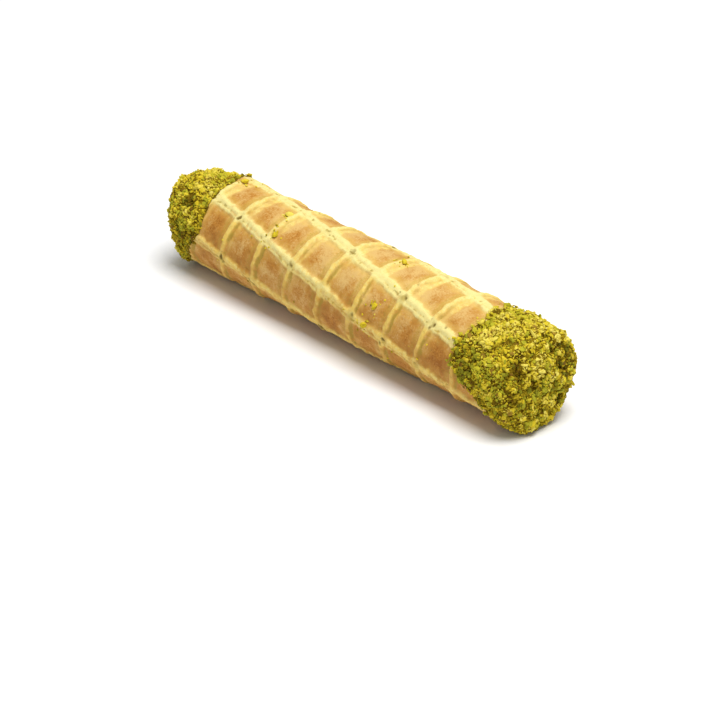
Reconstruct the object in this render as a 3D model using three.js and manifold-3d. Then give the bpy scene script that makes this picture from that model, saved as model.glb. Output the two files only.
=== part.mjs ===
// Filled wafer roll: a lattice wafer sheet rolled up, with both ends coated in crushed pistachio.
// Millimetres, +Z up. The roll lies along X and rests on the plane z = 0, centred on the origin.
import * as THREE from "three";
import { mergeVertices } from "three/addons/utils/BufferGeometryUtils.js";
import Module from "manifold-3d";

const wasm = await Module();
wasm.setup();

// Driving dimensions of the roll
const ROLL_LENGTH = 127.7; // over both nut coats
const ROLL_RADIUS = 12.5; // mean radius of the wafer's panels
const SHEET_STEP = 0.8; // how far the sheet's free edge stands above the turn below it
const GAP = 0.3; // clearance between touching pieces

// The rib lattice that the baking iron leaves on the sheet. Places on the flat sheet are measured in
// two directions: along the ribs that run down the roll, and round it, along the ribs that cross them.
const RIB_TILT = THREE.MathUtils.degToRad(11.5); // turn of the lattice on the roll
const DOWN_PITCH = 11.81; // from one crossing to the next, along the ribs that run down the roll
const ROUND_PITCH = 12.36; // the same, along the ribs that run round it
const DOWN_SHIFT = 0.9; // a crossing near the top of the roll's middle
const ROUND_SHIFT = -3.4;
const RIB_FOOT = 3.2; // width where a rib meets the panels
const RIB_CREST = 1.3; // width of its top
const RIB_HEIGHT = 0.7;
const SHEET_END = 23.2; // the sheet's free edge, measured round: behind and low
const SHEET_LAP = 3; // how far the other edge of the sheet lies under the free edge

// The nut coats: reach is how far a coat comes along the roll from its end, rounding is how much of that
// its rounded end takes, and lead is how far that end stands out on the side that the coats face
const COAT_ROUGH = 0.4; // height of the crumbs packed in the coat
const COAT_FACE = 4.6; // thickness of a coat over the wafer's end
const COAT_BLUNT = 3; // power of the rounding: 2 is an ellipse, more is squarer
const COAT_FACING = THREE.MathUtils.degToRad(-30); // the side where both coats reach furthest
const COAT_FULL = THREE.MathUtils.degToRad(55); // full reach up to this angle from that side
const COAT_LEAST = THREE.MathUtils.degToRad(108); // least reach beyond this angle
const COAT_WAVE = 0.6; // how much the inner edge wanders
const COAT_WAVES = 7; // how often it does so round the roll
const SPIGOT_RADIUS = 11; // the wafer inside a coat
const COATS = {
  nut_end_front: { side: 1, radius: 12.75, rounding: 7, lead: -0.5, reach: [6, 18.6], grains: 124, seed: 11 },
  nut_end_back: { side: -1, radius: 12.5, rounding: 5.4, lead: 2, reach: [6, 14.5], grains: 98, seed: 29 },
};

// Underneath, where the roll lies on them, the coats are fuller and less rounded
const REST_RADIUS = 13.25;
const REST_ROUNDING = 3.5;
const REST_FULL = THREE.MathUtils.degToRad(162); // from the top of the roll to where the underside begins
const REST_NONE = THREE.MathUtils.degToRad(107);
const REST_DEPTH = 0.1; // how deep the resting flat is pressed into the coats

// The larger nut pieces on the coats
const GRAIN_RADIUS = [0.84, 1.56]; // least and most
const GRAIN_LENGTH = [1, 1.3]; // stretch of a piece in its three directions, least and most
const GRAIN_WIDTH = [0.8, 1.1];
const GRAIN_THICKNESS = [0.7, 1];
const GRAIN_STAND = -0.55; // height of a piece's middle over the coat, in its radii
const EDGE_CLEAR = 1.5; // distance of a piece's middle from the coat's inner edge, in its radii

// The clump that stands proud of the front coat: its depth behind the roll's end, its angle from the top
// in degrees, and its radius
const PROUD_CLUMP = [13.2, 40, 1.5];

// The nut pieces that stuck to the wafer between the coats: each one's place along the roll, its angle
// from the top of the roll in degrees, and its radius
const STRAY_PIECES = [
  [-46.4, 8, 0.8],
  [-24.9, -9, 1],
  [-23.4, -40, 0.75],
  [14.1, 5, 0.85],
  [16.3, -61, 0.8],
  [14.8, -85, 0.8],
  [-11.4, 100, 1.05],
  [30.6, 60, 0.8],
];
const STRAY_STAND = 0.2; // height of such a piece's middle over the sheet, in its radii
const STRAY_SEED = 5;

// Mesh steps
const DOWN_PANEL_PARTS = 1; // parts that a panel is cut in, along and round the roll
const ROUND_PANEL_PARTS = 4;
const STRIP_LINES = 15; // lines of points that one strip of the sheet spans
const STRIP_ROOT = 5; // radius of a strip's foot inside the roll
const CORE_RADIUS = 8; // what fills the roll's middle
const COAT_STEPS = 40;
const COAT_ROW = 2.1; // distance between rows of points along a coat
const ROUNDING_STEPS = 6;
const GOLDEN_ANGLE = Math.PI * (3 - Math.sqrt(5));

const TURN = 2 * Math.PI;
const AXIS_HEIGHT = REST_RADIUS - REST_DEPTH;
const HALF_LENGTH = ROLL_LENGTH / 2;
const WAFER_HALF = HALF_LENGTH - COAT_FACE;
const SHEET_ROUND = TURN * ROLL_RADIUS * Math.cos(RIB_TILT); // one turn of the sheet, measured round

// A point of the roll: x along the axis, angle from the top towards +Y, and distance from the axis
function onRoll(x, angle, radius) {
  return new THREE.Vector3(x, radius * Math.sin(angle), AXIS_HEIGHT + radius * Math.cos(angle));
}

// A point of the rolled sheet, raised over its panels. The sheet winds outwards over one turn, from
// under the seam to its free edge on the seam.
function onSheet(down, round, up) {
  const x = down * Math.cos(RIB_TILT) + round * Math.sin(RIB_TILT);
  const angle = (round * Math.cos(RIB_TILT) - down * Math.sin(RIB_TILT)) / ROLL_RADIUS;
  const turned = 1 - (SHEET_END - round) / SHEET_ROUND;
  return onRoll(x, angle, ROLL_RADIUS + SHEET_STEP * (turned - 0.5) + up);
}

// Numbers from 0 to 1 that look random and are the same each time
function seededRandom(seed) {
  const range = 2 ** 32;
  let state = seed;
  return () => {
    state = (state * 1664525 + 1013904223) % range;
    return state / range;
  };
}

function geometryFrom(points, triangles) {
  const geometry = new THREE.BufferGeometry().setFromPoints(points);
  geometry.setIndex(triangles);
  return geometry;
}

function toSolid(geometry) {
  const bare = geometry.clone();
  bare.deleteAttribute("normal");
  bare.deleteAttribute("uv");
  const merged = mergeVertices(bare);
  return new wasm.Manifold(
    new wasm.Mesh({
      numProp: 3,
      vertProperties: new Float32Array(merged.attributes.position.array),
      triVerts: new Uint32Array(merged.index.array),
    }),
  );
}

function toGeometry(solid) {
  const mesh = solid.getMesh();
  const geometry = new THREE.BufferGeometry();
  geometry.setAttribute("position", new THREE.BufferAttribute(mesh.vertProperties, 3));
  geometry.setIndex(new THREE.BufferAttribute(mesh.triVerts, 1));
  geometry.computeVertexNormals();
  return geometry;
}

function middleOf(points) {
  const sum = points.reduce((total, point) => total.add(point), new THREE.Vector3());
  return sum.divideScalar(points.length);
}

// Closed body from rings of equally many points, with a fan over each end ring
function bodyFromRings(rings) {
  const count = rings[0].length;
  const points = [...rings.flat(), middleOf(rings[0]), middleOf(rings[rings.length - 1])];
  const start = points.length - 2;
  const end = points.length - 1;
  const last = (rings.length - 1) * count;
  const triangles = [];
  for (let i = 0; i < count; i++) {
    const next = (i + 1) % count;
    for (let row = 0; row < last; row += count) {
      triangles.push(row + i, row + next, row + count + i);
      triangles.push(row + next, row + count + next, row + count + i);
    }
    triangles.push(start, next, i);
    triangles.push(end, last + i, last + next);
  }
  return geometryFrom(points, triangles);
}

// How high the nearest rib stands at this place across the ribs of one direction, from 0 to 1
function ribRise(place, shift, pitch) {
  const off = place - shift - pitch * Math.round((place - shift) / pitch);
  const flank = (RIB_FOOT - RIB_CREST) / 2;
  return THREE.MathUtils.clamp((RIB_FOOT / 2 - Math.abs(off)) / flank, 0, 1);
}

// How high the sheet stands over its panels at this place
function sheetRise(down, round) {
  const across = ribRise(down, DOWN_SHIFT, DOWN_PITCH);
  const along = ribRise(round, ROUND_SHIFT, ROUND_PITCH);
  return RIB_HEIGHT * Math.max(across, along);
}

// The places of all grid lines across the ribs of one direction: the edges of each rib's foot and
// crest, and lines that part the panels
function gridLines(shift, pitch, from, to, panelParts) {
  const lines = [from, to];
  for (let i = Math.floor((from - shift) / pitch); i <= Math.ceil((to - shift) / pitch); i++) {
    const middle = shift + i * pitch;
    lines.push(middle - RIB_FOOT / 2, middle - RIB_CREST / 2, middle + RIB_CREST / 2);
    for (let part = 0; part < panelParts; part++) {
      lines.push(middle + RIB_FOOT / 2 + ((pitch - RIB_FOOT) * part) / panelParts);
    }
  }
  return lines.filter((line) => line >= from && line <= to).sort((one, other) => one - other);
}

// A strip of the ribbed sheet as a wedge down into the roll, wider at its root than at its top
function sheetStrip(downLines, roundLines) {
  const first = roundLines[0];
  const last = roundLines[roundLines.length - 1];
  const root = (down, round) => onSheet(down, round, STRIP_ROOT - ROLL_RADIUS);
  const rings = downLines.map((down) => {
    const ring = roundLines.map((round) => onSheet(down, round, sheetRise(down, round)));
    return [root(down, first - SHEET_LAP), ...ring, root(down, last + SHEET_LAP)].reverse();
  });
  return toSolid(bodyFromRings(rings));
}

// The whole rolled sheet, filled to its axis
function rolledSheet() {
  const reach = WAFER_HALF + ROLL_RADIUS;
  const start = SHEET_END - SHEET_ROUND - SHEET_LAP;
  const downLines = gridLines(DOWN_SHIFT, DOWN_PITCH, -reach, reach, DOWN_PANEL_PARTS);
  const roundLines = gridLines(ROUND_SHIFT, ROUND_PITCH, start, SHEET_END, ROUND_PANEL_PARTS);
  const strips = [axisCylinder(CORE_RADIUS, -WAFER_HALF, WAFER_HALF)];
  for (let i = 0; i < roundLines.length - 1; i += STRIP_LINES - 1) {
    strips.push(sheetStrip(downLines, roundLines.slice(i, i + STRIP_LINES)));
  }
  const ends = axisCylinder(2 * ROLL_RADIUS, -WAFER_HALF, WAFER_HALF);
  return wasm.Manifold.union(strips).intersect(ends);
}

// How far a coat comes along the roll from its end, on the side at this angle
function coatReach(coat, angle) {
  const facing = Math.cos(angle - COAT_FACING);
  const share = THREE.MathUtils.smoothstep(facing, Math.cos(COAT_LEAST), Math.cos(COAT_FULL));
  const wave = COAT_WAVE * Math.sin(COAT_WAVES * angle + coat.seed);
  return THREE.MathUtils.lerp(...coat.reach, share) + wave;
}

// A coat's outline on the side at this angle, as depths behind the roll's very end and distances from
// its axis: from near the middle of the end over its rounding and along the side to the inner edge
function coatOutline(coat, angle) {
  const free = THREE.MathUtils.smoothstep(Math.cos(angle), Math.cos(REST_FULL), Math.cos(REST_NONE));
  const side = THREE.MathUtils.lerp(REST_RADIUS, coat.radius, free);
  const rounding = THREE.MathUtils.lerp(REST_ROUNDING, coat.rounding, free);
  const reach = coatReach(coat, angle);
  const lead = coat.lead * Math.cos(2 * (angle - COAT_FACING));
  const rows = Math.round((coat.reach[1] - coat.rounding) / COAT_ROW);
  const outline = [];
  for (let step = 1; step <= ROUNDING_STEPS; step++) {
    const turned = ((Math.PI / 2) * step) / ROUNDING_STEPS;
    const share = Math.sin(turned) ** (2 / COAT_BLUNT);
    outline.push({ depth: rounding * (1 - Math.cos(turned) ** (2 / COAT_BLUNT)), share });
  }
  for (let row = 1; row <= rows; row++) {
    outline.push({ depth: THREE.MathUtils.lerp(rounding, reach, row / rows), share: 1 });
  }
  return outline.map(({ depth, share }) => ({
    depth: depth - lead * share ** 2 * (1 - depth / reach),
    radius: side * share,
    share,
  }));
}

// The same outline moved outwards by a height at each of its points: forwards in the middle of the end,
// and more and more to the side towards the edge of its rounding
function raised({ depth, radius, share }, height) {
  return { depth: depth - height * (1 - share ** 2), radius: radius + height * share, share };
}

// A ring of points round the roll, given its place in a coat's outline at each angle
function coatRing(coat, placeAt) {
  const ring = [];
  for (let i = 0; i < COAT_STEPS; i++) {
    const angle = (-coat.side * TURN * i) / COAT_STEPS;
    const { depth, radius } = placeAt(angle);
    ring.push(onRoll(coat.side * (HALF_LENGTH - depth), angle, radius));
  }
  return ring;
}

// The slanting face where a coat ends on the wafer, moved along the roll by a clearance
function coatEdge(coat, clearance) {
  return [SPIGOT_RADIUS / 2, coat.radius].map((radius) =>
    coatRing(coat, (angle) => ({ depth: coatReach(coat, angle) + clearance, radius })),
  );
}

// The whole lump of a coat, from its slanting inner edge to its end face, rough with crumbs
function coatLump(coat) {
  const random = seededRandom(coat.seed);
  const rings = coatEdge(coat, 0);
  for (let i = coatOutline(coat, 0).length - 2; i >= 0; i--) {
    rings.push(coatRing(coat, (angle) => raised(coatOutline(coat, angle)[i], COAT_ROUGH * random())));
  }
  return toSolid(bodyFromRings(rings));
}

// All of the roll from a coat's inner edge outwards, taken off the wafer outside its spigot
function coatSpace(coat) {
  const clear = 2 * ROLL_RADIUS;
  const edge = coatEdge(coat, GAP);
  const sides = [(angle) => coatReach(coat, angle) + GAP, () => -clear].map((depthAt) =>
    coatRing(coat, (angle) => ({ depth: depthAt(angle), radius: clear })),
  );
  return toSolid(bodyFromRings([...edge, ...sides]));
}

// A plain cylinder on the roll's axis, between two places along it
function axisCylinder(radius, from, to) {
  const geometry = new THREE.CylinderGeometry(radius, radius, to - from, COAT_STEPS);
  geometry.rotateZ(-Math.PI / 2);
  return toSolid(geometry.translate((from + to) / 2, 0, AXIS_HEIGHT));
}

// The size, proportions and turn of a nut piece
function nutShape(random) {
  const between = ([least, most]) => THREE.MathUtils.lerp(least, most, random());
  const size = between(GRAIN_RADIUS);
  const stretch = new THREE.Vector3(...[GRAIN_LENGTH, GRAIN_WIDTH, GRAIN_THICKNESS].map(between));
  const turn = new THREE.Euler(TURN * random(), TURN * random(), TURN * random());
  return { size, stretch, turn };
}

function nutPiece(middle, { size, stretch, turn }) {
  const turned = new THREE.Quaternion().setFromEuler(turn);
  const place = new THREE.Matrix4().compose(middle, turned, stretch.multiplyScalar(size));
  return toSolid(new THREE.IcosahedronGeometry(1, 0).applyMatrix4(place));
}

// The nut pieces that lie on the wafer, sunk a little into it
function strayPieces() {
  const random = seededRandom(STRAY_SEED);
  const pieces = STRAY_PIECES.map(([x, degrees, size]) => {
    const across = ROLL_RADIUS * THREE.MathUtils.degToRad(degrees);
    const down = x * Math.cos(RIB_TILT) - across * Math.sin(RIB_TILT);
    const round = x * Math.sin(RIB_TILT) + across * Math.cos(RIB_TILT);
    const up = sheetRise(down, round) + STRAY_STAND * size;
    return nutPiece(onSheet(down, round, up), { ...nutShape(random), size });
  });
  return wasm.Manifold.union(pieces);
}

// The bands between the points of a coat's outline, each taken all round the roll, with their areas
function coatBands(coat, angle) {
  const outline = [{ ...coatOutline(coat, angle)[0], radius: 0, share: 0 }, ...coatOutline(coat, angle)];
  return outline.slice(1).map((outer, i) => {
    const inner = outline[i];
    const width = Math.hypot(outer.depth - inner.depth, outer.radius - inner.radius);
    return { inner, outer, area: (TURN * width * (inner.radius + outer.radius)) / 2 };
  });
}

// The place in a coat's outline that has this much area between it and the middle of the end
function placeByArea(bands, area) {
  let left = area;
  for (const band of bands) {
    if (left < band.area) {
      const between = (key) => THREE.MathUtils.lerp(band.inner[key], band.outer[key], left / band.area);
      return { depth: between("depth"), radius: between("radius"), share: between("share") };
    }
    left -= band.area;
  }
  return { depth: Infinity };
}

// Nut pieces spread evenly over a coat, from the middle of its end outwards as far as it reaches
function nutGrains(coat) {
  const random = seededRandom(2 * coat.seed);
  const fullArea = coatBands(coat, COAT_FACING).reduce((total, band) => total + band.area, 0);
  const grains = [];
  for (let i = 0; i < coat.grains; i++) {
    const angle = i * GOLDEN_ANGLE;
    const shape = nutShape(random);
    const place = placeByArea(coatBands(coat, angle), (fullArea * (i + 0.5)) / coat.grains);
    if (place.depth > coatReach(coat, angle) - EDGE_CLEAR * shape.size) continue;
    const { depth, radius } = raised(place, COAT_ROUGH + GRAIN_STAND * shape.size);
    grains.push(nutPiece(onRoll(coat.side * (HALF_LENGTH - depth), angle, radius), shape));
  }
  return wasm.Manifold.union(grains);
}

// The clump on the front coat
function proudClump() {
  const [depth, degrees, size] = PROUD_CLUMP;
  const { side, radius, seed } = COATS.nut_end_front;
  const angle = THREE.MathUtils.degToRad(degrees);
  const middle = onRoll(side * (HALF_LENGTH - depth), angle, radius + COAT_ROUGH);
  return nutPiece(middle, { ...nutShape(seededRandom(seed)), size });
}

// Everything above the resting plane
function aboveFloor(solid) {
  const below = new THREE.BoxGeometry(2 * ROLL_LENGTH, ROLL_LENGTH, ROLL_LENGTH);
  return solid.subtract(toSolid(below.translate(0, 0, -ROLL_LENGTH / 2)));
}

function wafer() {
  let roll = rolledSheet();
  const spigot = axisCylinder(SPIGOT_RADIUS, -2 * ROLL_LENGTH, 2 * ROLL_LENGTH);
  for (const coat of Object.values(COATS)) roll = roll.subtract(coatSpace(coat).subtract(spigot));
  return toGeometry(roll.add(strayPieces()));
}

function nutEnd(coat) {
  const reach = coat.side * (WAFER_HALF + GAP);
  const socket = axisCylinder(SPIGOT_RADIUS + GAP, Math.min(0, reach), Math.max(0, reach));
  let lump = coatLump(coat).add(nutGrains(coat));
  if (coat === COATS.nut_end_front) lump = lump.add(proudClump());
  return toGeometry(aboveFloor(lump.subtract(socket)));
}

const waferFinish = new THREE.MeshStandardMaterial({ color: "#d09a5c", roughness: 0.75, metalness: 0 });
const nutFinish = new THREE.MeshStandardMaterial({ color: "#a89a2e", roughness: 0.85, metalness: 0 });

function namedMesh(name, geometry, material) {
  const mesh = new THREE.Mesh(geometry, material);
  mesh.name = name;
  return mesh;
}

const waferRoll = new THREE.Group();
waferRoll.add(namedMesh("wafer", wafer(), waferFinish));
for (const [name, coat] of Object.entries(COATS)) waferRoll.add(namedMesh(name, nutEnd(coat), nutFinish));

export default waferRoll;
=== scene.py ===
import math
from functools import partial
from types import SimpleNamespace

import bmesh
import bpy
import numpy as np
from bpy.props import FloatProperty, FloatVectorProperty, IntProperty, PointerProperty
from mathutils import Matrix, Vector


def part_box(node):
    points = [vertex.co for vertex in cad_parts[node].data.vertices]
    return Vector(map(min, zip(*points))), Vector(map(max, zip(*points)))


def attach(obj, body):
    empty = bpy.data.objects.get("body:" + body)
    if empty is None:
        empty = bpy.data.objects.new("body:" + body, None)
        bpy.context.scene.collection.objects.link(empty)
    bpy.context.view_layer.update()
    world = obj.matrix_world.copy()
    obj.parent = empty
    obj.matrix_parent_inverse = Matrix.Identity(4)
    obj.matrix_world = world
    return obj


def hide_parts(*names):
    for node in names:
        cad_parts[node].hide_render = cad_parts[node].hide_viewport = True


bl_info = {
    "name": "Filled wafer roll",
    "version": (1, 0, 0),
    "blender": (4, 5, 0),
    "location": "View3D > Sidebar > Wafer roll",
    "description": "Bakes the sheet, the nut coats and the crumbs of a wafer roll over its solids",
    "category": "Object",
}

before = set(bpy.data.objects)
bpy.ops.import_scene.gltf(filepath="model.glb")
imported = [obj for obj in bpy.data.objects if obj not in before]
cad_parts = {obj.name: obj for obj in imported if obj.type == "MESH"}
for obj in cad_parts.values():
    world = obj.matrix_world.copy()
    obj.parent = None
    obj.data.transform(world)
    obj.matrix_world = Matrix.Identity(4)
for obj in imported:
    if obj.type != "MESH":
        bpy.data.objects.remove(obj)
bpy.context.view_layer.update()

# Lengths are in millimetres up to the moment a mesh is made
MM = 0.001
TURN = 2 * math.pi

# The roll, as its solids have it
ROLL_RADIUS = 12.5  # mean radius of the panels
SHEET_STEP = 0.8  # how far the sheet's free edge stands above the turn below it
AXIS_HEIGHT = 13.15
HALF_LENGTH = 63.85  # to the middle of an end
WAFER_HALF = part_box("wafer")[1].x / MM
RIB_TILT = math.radians(11.5)  # turn of the lattice on the roll
TILT_COS, TILT_SIN = math.cos(RIB_TILT), math.sin(RIB_TILT)
DOWN_PITCH = 11.81  # from one crossing to the next, along the ribs that run down the roll
ROUND_PITCH = 12.36  # the same, along the ribs that run round it
DOWN_SHIFT = 0.9
ROUND_SHIFT = -3.4
SHEET_END = 23.2  # the free edge, measured round the roll along the ribs
SHEET_ROUND = TURN * ROLL_RADIUS * TILT_COS  # one turn of the sheet, measured so

# The nut coats, as their solids have them
COAT_FACE = 4.6  # thickness over the wafer's end
COAT_BLUNT = 3  # power of the rounding of an end: 2 is an ellipse, more is squarer
COAT_FACING = math.radians(-30)  # the side where the coats reach furthest
COAT_FULL = math.radians(55)  # how far round from there the reach stays full, and where it is least
COAT_LEAST = math.radians(108)
COAT_WAVE = 0.6  # height and number of the waves of the inner edge
COAT_WAVES = 7
COAT_ROW = 2.1  # width of the bands of the side
ROUNDING_STEPS = 6
REST_RADIUS = 13.25  # underneath, where the roll lies on its coats, they are fuller and less rounded
REST_ROUNDING = 3.5
REST_FULL = math.radians(162)
REST_NONE = math.radians(107)
SPIGOT_RADIUS = 11.0
FIT_GAP = 0.3  # between a coat and the wafer in it
GRAIN_SIZES = (0.84, 1.56)  # radii of the nut pieces
GRAIN_DRAWS = 7  # random numbers for each
EDGE_CLEAR = 1.5  # how many radii they keep from the inner edge
GOLDEN_ANGLE = math.pi * (3 - math.sqrt(5))
PROUD_CLUMP = (13.2, 40, 1.5)  # depth behind the front end, degrees from the top, radius

# The two coats: rounding is the length of the rounded end, lead how far it leads on the facing side, settle
# how far the meal lies below the even form, loose how far bits stray past the inner edge, and edge how far
# that edge departs from the solid's at some degrees from the top
# edge_shade is how strongly the bits along a coat's inner edge are darkened by painted shade
COATS = {
    "front": SimpleNamespace(
        node="nut_end_front", side=1, radius=12.75, rounding=7.0, lead=-0.5, least=6.0, full=18.6,
        grains=124, seed=11, rough_seed=1226, hollow_seed=2115,
        settle=0.2, edge_shade=0.0, loose=0.5, share=0.56,
        edge=(
            (-130, 0), (-103, -3.0), (-92, -2.2), (-80, 0), (-51, 1.6), (-34, -1.2), (-18, -2.8), (-6, -0.6),
            (5, -1.6), (40, 0),
        ),
    ),
    "back": SimpleNamespace(
        node="nut_end_back", side=-1, radius=12.5, rounding=5.4, lead=2.0, least=6.0, full=14.5,
        grains=98, seed=29, rough_seed=2198, hollow_seed=38,
        settle=0.5, edge_shade=0.32, loose=0.15, share=0.44,
        edge=(
            (-150, 0), (-127, 2.0), (-108, 0.3), (-91, 0.0), (-83, 0.9), (-70, 0.9), (-48, 2.0), (-33, 1.9),
            (-20, 0.8), (7, 0.9), (26, -2.4), (50, 0),
        ),
    ),
}

# The coats' looks
COAT_LIP = 0.5  # width of the thinnest strip along a coat's inner edge
COAT_RUNOUT = 0.3  # how far past that edge its thickness runs out
DOME_RADIUS = 12.7  # of a typical end, on which the way from its middle is measured
DOME_LENGTH = 6
DOME_STEPS = 400
CLUMP_SPREAD = 1.5  # reach and heights of the clumps, in radii of their nut pieces
CLUMP_RISE = 0.5
PROUD_RISE = 0.8
HOLLOW_SIZE = 2.6  # width and depth of the hollows between the nuts of the ends
HOLLOW_DEPTH = 0.95
FULLNESS = (  # place, reach and height of the fuller and flatter parts of the coats
    ((-63.2, -7.5, 21.5), 6.5, 0.9),
    ((-59.0, 4.0, 24.8), 8.0, -0.7),
    ((61.0, 11.5, 12.5), 9.5, 0.9),
)
PATCH_SEEDS = (1253, 135)  # of the coats' larger and smaller patches of tone
GREENER = (  # place, reach and strength of the greener patches of the coats
    ((48.8, -11.8, 17.4), 7.5, 1.0),
    ((-56.5, -11.0, 18.0), 8.0, 0.4),
)
TONE_PATCHES = (  # place, reach and change of the lighter and darker patches of the coats: partly the nuts' own spots, partly painted light and shade on the ends
    ((62.1, 3.6, 22.8), 4.8, 0.45), ((62.5, 5.0, 12.0), 9.0, 0.12),
    ((63.7, 3.2, 17.6), 2.4, -0.55), ((63.3, 7.8, 15.5), 2.8, 0.4),
    ((63.8, 3.7, 13.4), 2.2, -0.4), ((62.5, -9.8, 14.6), 2.2, -0.4),
    ((62.9, -9.0, 11.6), 3.2, -0.35), ((60.0, -12.0, 13.6), 3.0, 0.2),
    ((61.4, -9.2, 19.0), 3.4, -0.32), ((61.3, -6.4, 22.3), 2.5, 0.22),
    ((50.0, -11.5, 18.0), 7.0, -0.25), ((57.5, -7.9, 23.1), 5.0, -0.42),
    ((-55.7, -9.5, 21.4), 2.2, -0.9), ((-60.0, -4.5, 24.5), 5.0, -0.2),
    ((-53.5, -9.8, 21.2), 5.5, -0.24), ((-53.9, -11.4, 18.2), 3.0, 0.3),
)
CHIP_SHAPES = 24  # forms of the bits of a kind, and flat cuts of each
CHIP_CUTS = 7
STREWN_TRIES = 20  # random places tried for each bit
NUT_ROUGHNESS = 0.62

# The nut pieces stuck to the sheet: place along the roll, degrees from its top, radius and tone
STRAY_PIECES = (
    (-46.4, 8, 0.8, 0.5), (-24.9, -9, 1.0, 0.85),
    (-23.4, -40, 0.75, 0.42), (14.1, 5, 0.85, 0.5),
    (16.3, -61, 0.8, 0.42), (14.8, -85, 0.8, 0.42),
    (-11.4, 100, 1.05, 0.5), (30.6, 60, 0.8, 0.45),
)

# Sections across the ribs: distance from the rib's middle, height and paleness from 0 to 1. Each rib is a
# ridge with a lower one beside it. The distances grow towards the front end in the ribs that run round the
# roll, and towards +Y over the top in those that run down it.
ROUND_RIB = np.array([
    (-1.3, 0.0, 0.0), (-0.9, 0.25, 0.3), (-0.5, 0.92, 1.0), (0.1, 1.0, 1.0),
    (0.55, 0.8, 0.9), (0.85, 0.3, 0.4), (1.3, 0.15, 0.2), (1.8, 0.28, 0.45),
    (2.3, 0.24, 0.45), (2.8, 0.06, 0.1), (3.4, 0.0, 0.0),
])
DOWN_RIB = np.array([
    (-2.3, 0.0, 0.0), (-1.7, 0.12, 0.4), (-1.3, 0.6, 0.8), (-1.0, 0.72, 0.9),
    (-0.6, 0.45, 0.7), (-0.1, 0.85, 0.95), (0.45, 1.0, 1.0), (0.95, 0.85, 0.95),
    (1.3, 0.4, 0.7), (1.7, 0.1, 0.35), (2.2, 0.0, 0.05),
])
ROUND_GROOVE = (1.2, 0.7)  # middle and half width of the dark groove between the ridges, whose darkness is partly painted shade
DOWN_GROOVE = (-0.6, 0.4)
ROUND_SHADE = (-2.0, 0.9)  # the same of the strip of painted shade behind the ribs that run round the roll
ROUND_TOP = (0.0, 0.6, 2.6, 3.8)  # where the strip between and beside their ridges is pale on the top, which is painted light
RIB_RIM = (1.5, 4.0)  # how far from a rib the panels' golden rims fade and end
SPOT_CELLS = 3  # rows and columns of points that a pore or bubble reaches
SHEET_MARKS = ("rib", "cream", "groove", "toast", "pit")  # numbers kept for each point of the sheet


def number(name, description, default):
    """A whole number a user may change"""
    return IntProperty(name=name, description=description, default=default, min=0)


def length(name, description, default_mm):
    """A length a user may change, kept in metres"""
    return FloatProperty(
        name=name, description=description, default=default_mm * MM, min=0, unit="LENGTH", precision=5
    )


def colour(name, description, default):
    """A colour a user may change, in linear light"""
    return FloatVectorProperty(
        name=name, description=description, default=default, size=3, min=0, max=1, subtype="COLOR"
    )


class WAFER_PG_sheet(bpy.types.PropertyGroup):
    """Sizes and colours of the baked sheet"""

    mesh_step: length("Mesh step", "Spacing of the points of the sheet", 0.315)
    rib_height: length("Rib height", "Height of the ribs over the panels", 0.7)
    pore_depth: length("Pore depth", "Depth of the pores in the panels", 0.16)
    bubble_depth: length("Bubble depth", "Depth of the open bubbles on the ribs", 0.3)
    pores: number("Pores", "Pores in the panels", 3000)
    bubbles: number("Bubbles", "Open bubbles on the ribs", 170)
    seed: number("Seed", "Start of the sheet's random numbers", 3)
    panel: colour("Panel", "Golden panels", (0.66, 0.425, 0.14))
    toasted: colour("Toasted", "Browner parts of the panels", (0.485, 0.213, 0.031))
    browned: colour("Browned", "Brownest parts of the panels", (0.33, 0.118, 0.012))
    rib: colour("Rib", "Pale parts of the ribs", (0.785, 0.68, 0.265))
    rib_gold: colour("Golden rib", "Browner parts of the ribs", (0.76, 0.52, 0.105))
    # The groove colour also paints the shade in the grooves and behind the ribs
    groove: colour("Groove", "Olive brown in the grooves of the ribs", (0.36, 0.245, 0.03))
    scorch: colour("Scorch", "Pores, bubbles and spots", (0.20, 0.13, 0.02))


class WAFER_PG_nuts(bpy.types.PropertyGroup):
    """Sizes, numbers and colours of the nut bits"""

    kernel_bits: number("Kernel bits", "Yellow-green bits", 2480)
    green_bits: number("Green bits", "Greener bits", 2100)
    skin_bits: number("Skin bits", "Bits of brown skin", 420)
    nut_meal: number("Meal", "Finest bits", 9800)
    kernel_bits_size: length("Kernel size", "Mean width of the yellow-green bits", 0.94)
    green_bits_size: length("Green size", "Mean width of the greener bits", 0.92)
    skin_bits_size: length("Skin size", "Mean width of the bits of skin", 0.7)
    nut_meal_size: length("Meal size", "Mean width of the finest bits", 0.42)
    seed: number("Seed", "Start of the bits' random numbers", 17)
    ground: colour("Ground", "Packed meal between the bits", (0.12, 0.072, 0.004))
    ground_pale: colour("Pale ground", "Paler meal between the bits", (0.30, 0.205, 0.007))
    kernel_dark: colour("Dark kernel", "Darkest yellow-green bits", (0.21, 0.135, 0.004))
    kernel: colour("Kernel", "Most yellow-green bits", (0.66, 0.51, 0.024))
    kernel_pale: colour("Pale kernel", "Palest yellow-green bits", (0.75, 0.645, 0.12))
    green_dark: colour("Dark green", "Darkest green bits", (0.11, 0.095, 0.005))
    green: colour("Green", "Most green bits", (0.405, 0.38, 0.024))
    skin: colour("Skin", "Brown skin", (0.15, 0.08, 0.008))
    skin_pale: colour("Pale skin", "Paler skin", (0.34, 0.21, 0.025))


class WAFER_PG_stage(bpy.types.PropertyGroup):
    """The floor and the light"""

    floor: colour("Floor", "Colour of the floor", (0.92, 0.92, 0.92))
    sky: FloatProperty(name="Sky", description="Strength of the light from all round", default=0.355, min=0)
    key: FloatProperty(
        name="Key", description="Power of the main light", default=10.1, min=0, unit="POWER"
    )


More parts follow.
